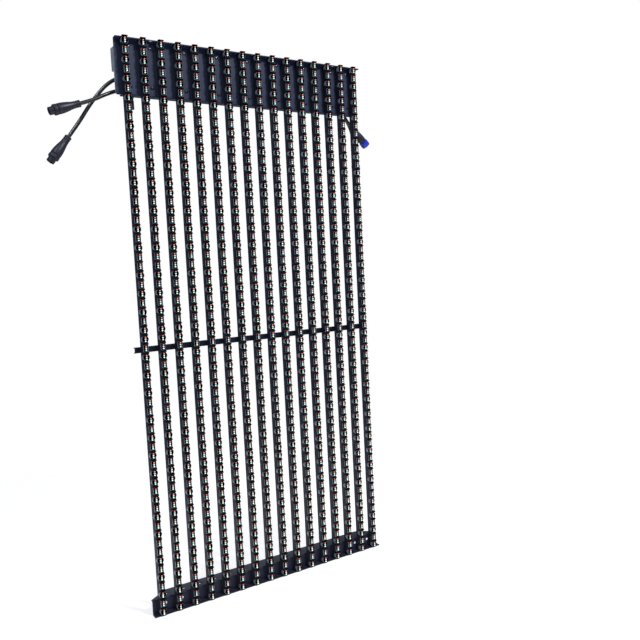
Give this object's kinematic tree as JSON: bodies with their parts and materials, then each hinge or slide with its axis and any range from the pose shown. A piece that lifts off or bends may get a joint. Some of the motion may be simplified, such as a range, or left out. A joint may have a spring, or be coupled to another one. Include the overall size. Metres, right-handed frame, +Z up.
{
  "type": "rgb led matrix panel",
  "caption": "Open-grille display panel: upright lamp bars with hooded wells on a folded top panel and foot bracket, a rear electronics box and short plug leads.",
  "frame": {"origin": "middle of the two hanging holes, on the upper face of the top flange", "axes": "+Z up, the lamps face -Y, +X to the right seen from the front"},
  "size_m": [0.6561, 0.0607, 0.9997],
  "materials": {
    "bar_moulding": "moulded plastic, fine satin grain",
    "lamp_board": "black potting with clear-topped lamps",
    "coated_steel": "fine-grain powder coat",
    "box_aluminium": "bare rolled sheet",
    "seal_foam": "foam",
    "blackened_steel": "blackened",
    "bare_steel": "bare",
    "socket_plastic": "natural nylon",
    "circuit_board": "solder mask",
    "spacer_brass": "turned",
    "supply_case": "bare sheet",
    "gland_nylon": "nylon",
    "cable_jacket": "satin jacket",
    "plug_moulding": "soft moulding",
    "nut_plastic": "blue plastic",
    "buffer_rubber": "matt"
  },
  "bodies": {
    "panel": {"bar_01_housing": "bar_moulding", "bar_02_housing": "bar_moulding", "bar_03_housing": "bar_moulding", "bar_04_housing": "bar_moulding", "bar_05_housing": "bar_moulding", "bar_06_housing": "bar_moulding", "bar_07_housing": "bar_moulding", "bar_08_housing": "bar_moulding", "bar_09_housing": "bar_moulding", "bar_10_housing": "bar_moulding", "bar_11_housing": "bar_moulding", "bar_12_housing": "bar_moulding", "bar_13_housing": "bar_moulding", "bar_14_housing": "bar_moulding", "bar_15_housing": "bar_moulding", "bar_16_housing": "bar_moulding", "bar_01_lamp_board": "lamp_board", "bar_02_lamp_board": "lamp_board", "bar_03_lamp_board": "lamp_board", "bar_04_lamp_board": "lamp_board", "bar_05_lamp_board": "lamp_board", "bar_06_lamp_board": "lamp_board", "bar_07_lamp_board": "lamp_board", "bar_08_lamp_board": "lamp_board", "bar_09_lamp_board": "lamp_board", "bar_10_lamp_board": "lamp_board", "bar_11_lamp_board": "lamp_board", "bar_12_lamp_board": "lamp_board", "bar_13_lamp_board": "lamp_board", "bar_14_lamp_board": "lamp_board", "bar_15_lamp_board": "lamp_board", "bar_16_lamp_board": "lamp_board", "top_panel": "coated_steel", "bottom_bracket": "coated_steel", "crossbar": "coated_steel", "rear_box": "box_aluminium", "rear_lid": "box_aluminium", "lid_seal": "seal_foam", "left_end_angle": "box_aluminium", "right_end_angle": "box_aluminium", "bar_end_screws": "blackened_steel", "pan_head_screws": "blackened_steel", "panel_rivets": "bare_steel", "bar_sockets": "socket_plastic", "distribution_board": "circuit_board", "receiving_card": "circuit_board", "card_spacers": "spacer_brass", "power_supply": "supply_case", "cable_glands": "gland_nylon", "left_upper_cable": "cable_jacket", "left_lower_cable": "cable_jacket", "right_front_cable": "cable_jacket", "right_rear_cable": "cable_jacket", "left_upper_plug": "plug_moulding", "left_lower_plug": "plug_moulding", "right_front_socket": "plug_moulding", "right_rear_socket": "plug_moulding", "rubber_buffer": "buffer_rubber"},
    "front_nut": {"right_front_nut": "nut_plastic"},
    "rear_nut": {"right_rear_nut": "nut_plastic"}
  },
  "joints": [
    {"name": "front_nut_turn", "type": "hinge", "parent": "panel", "child": "front_nut", "pos_m": [0.28102, 0.028, -0.14362], "axis": [0.7071, 0, -0.7071], "continuous": true},
    {"name": "rear_nut_turn", "type": "hinge", "parent": "panel", "child": "rear_nut", "pos_m": [0.26558, 0.04188, -0.19215], "axis": [0.0808, 0.0108, -0.9967], "continuous": true}
  ]
}
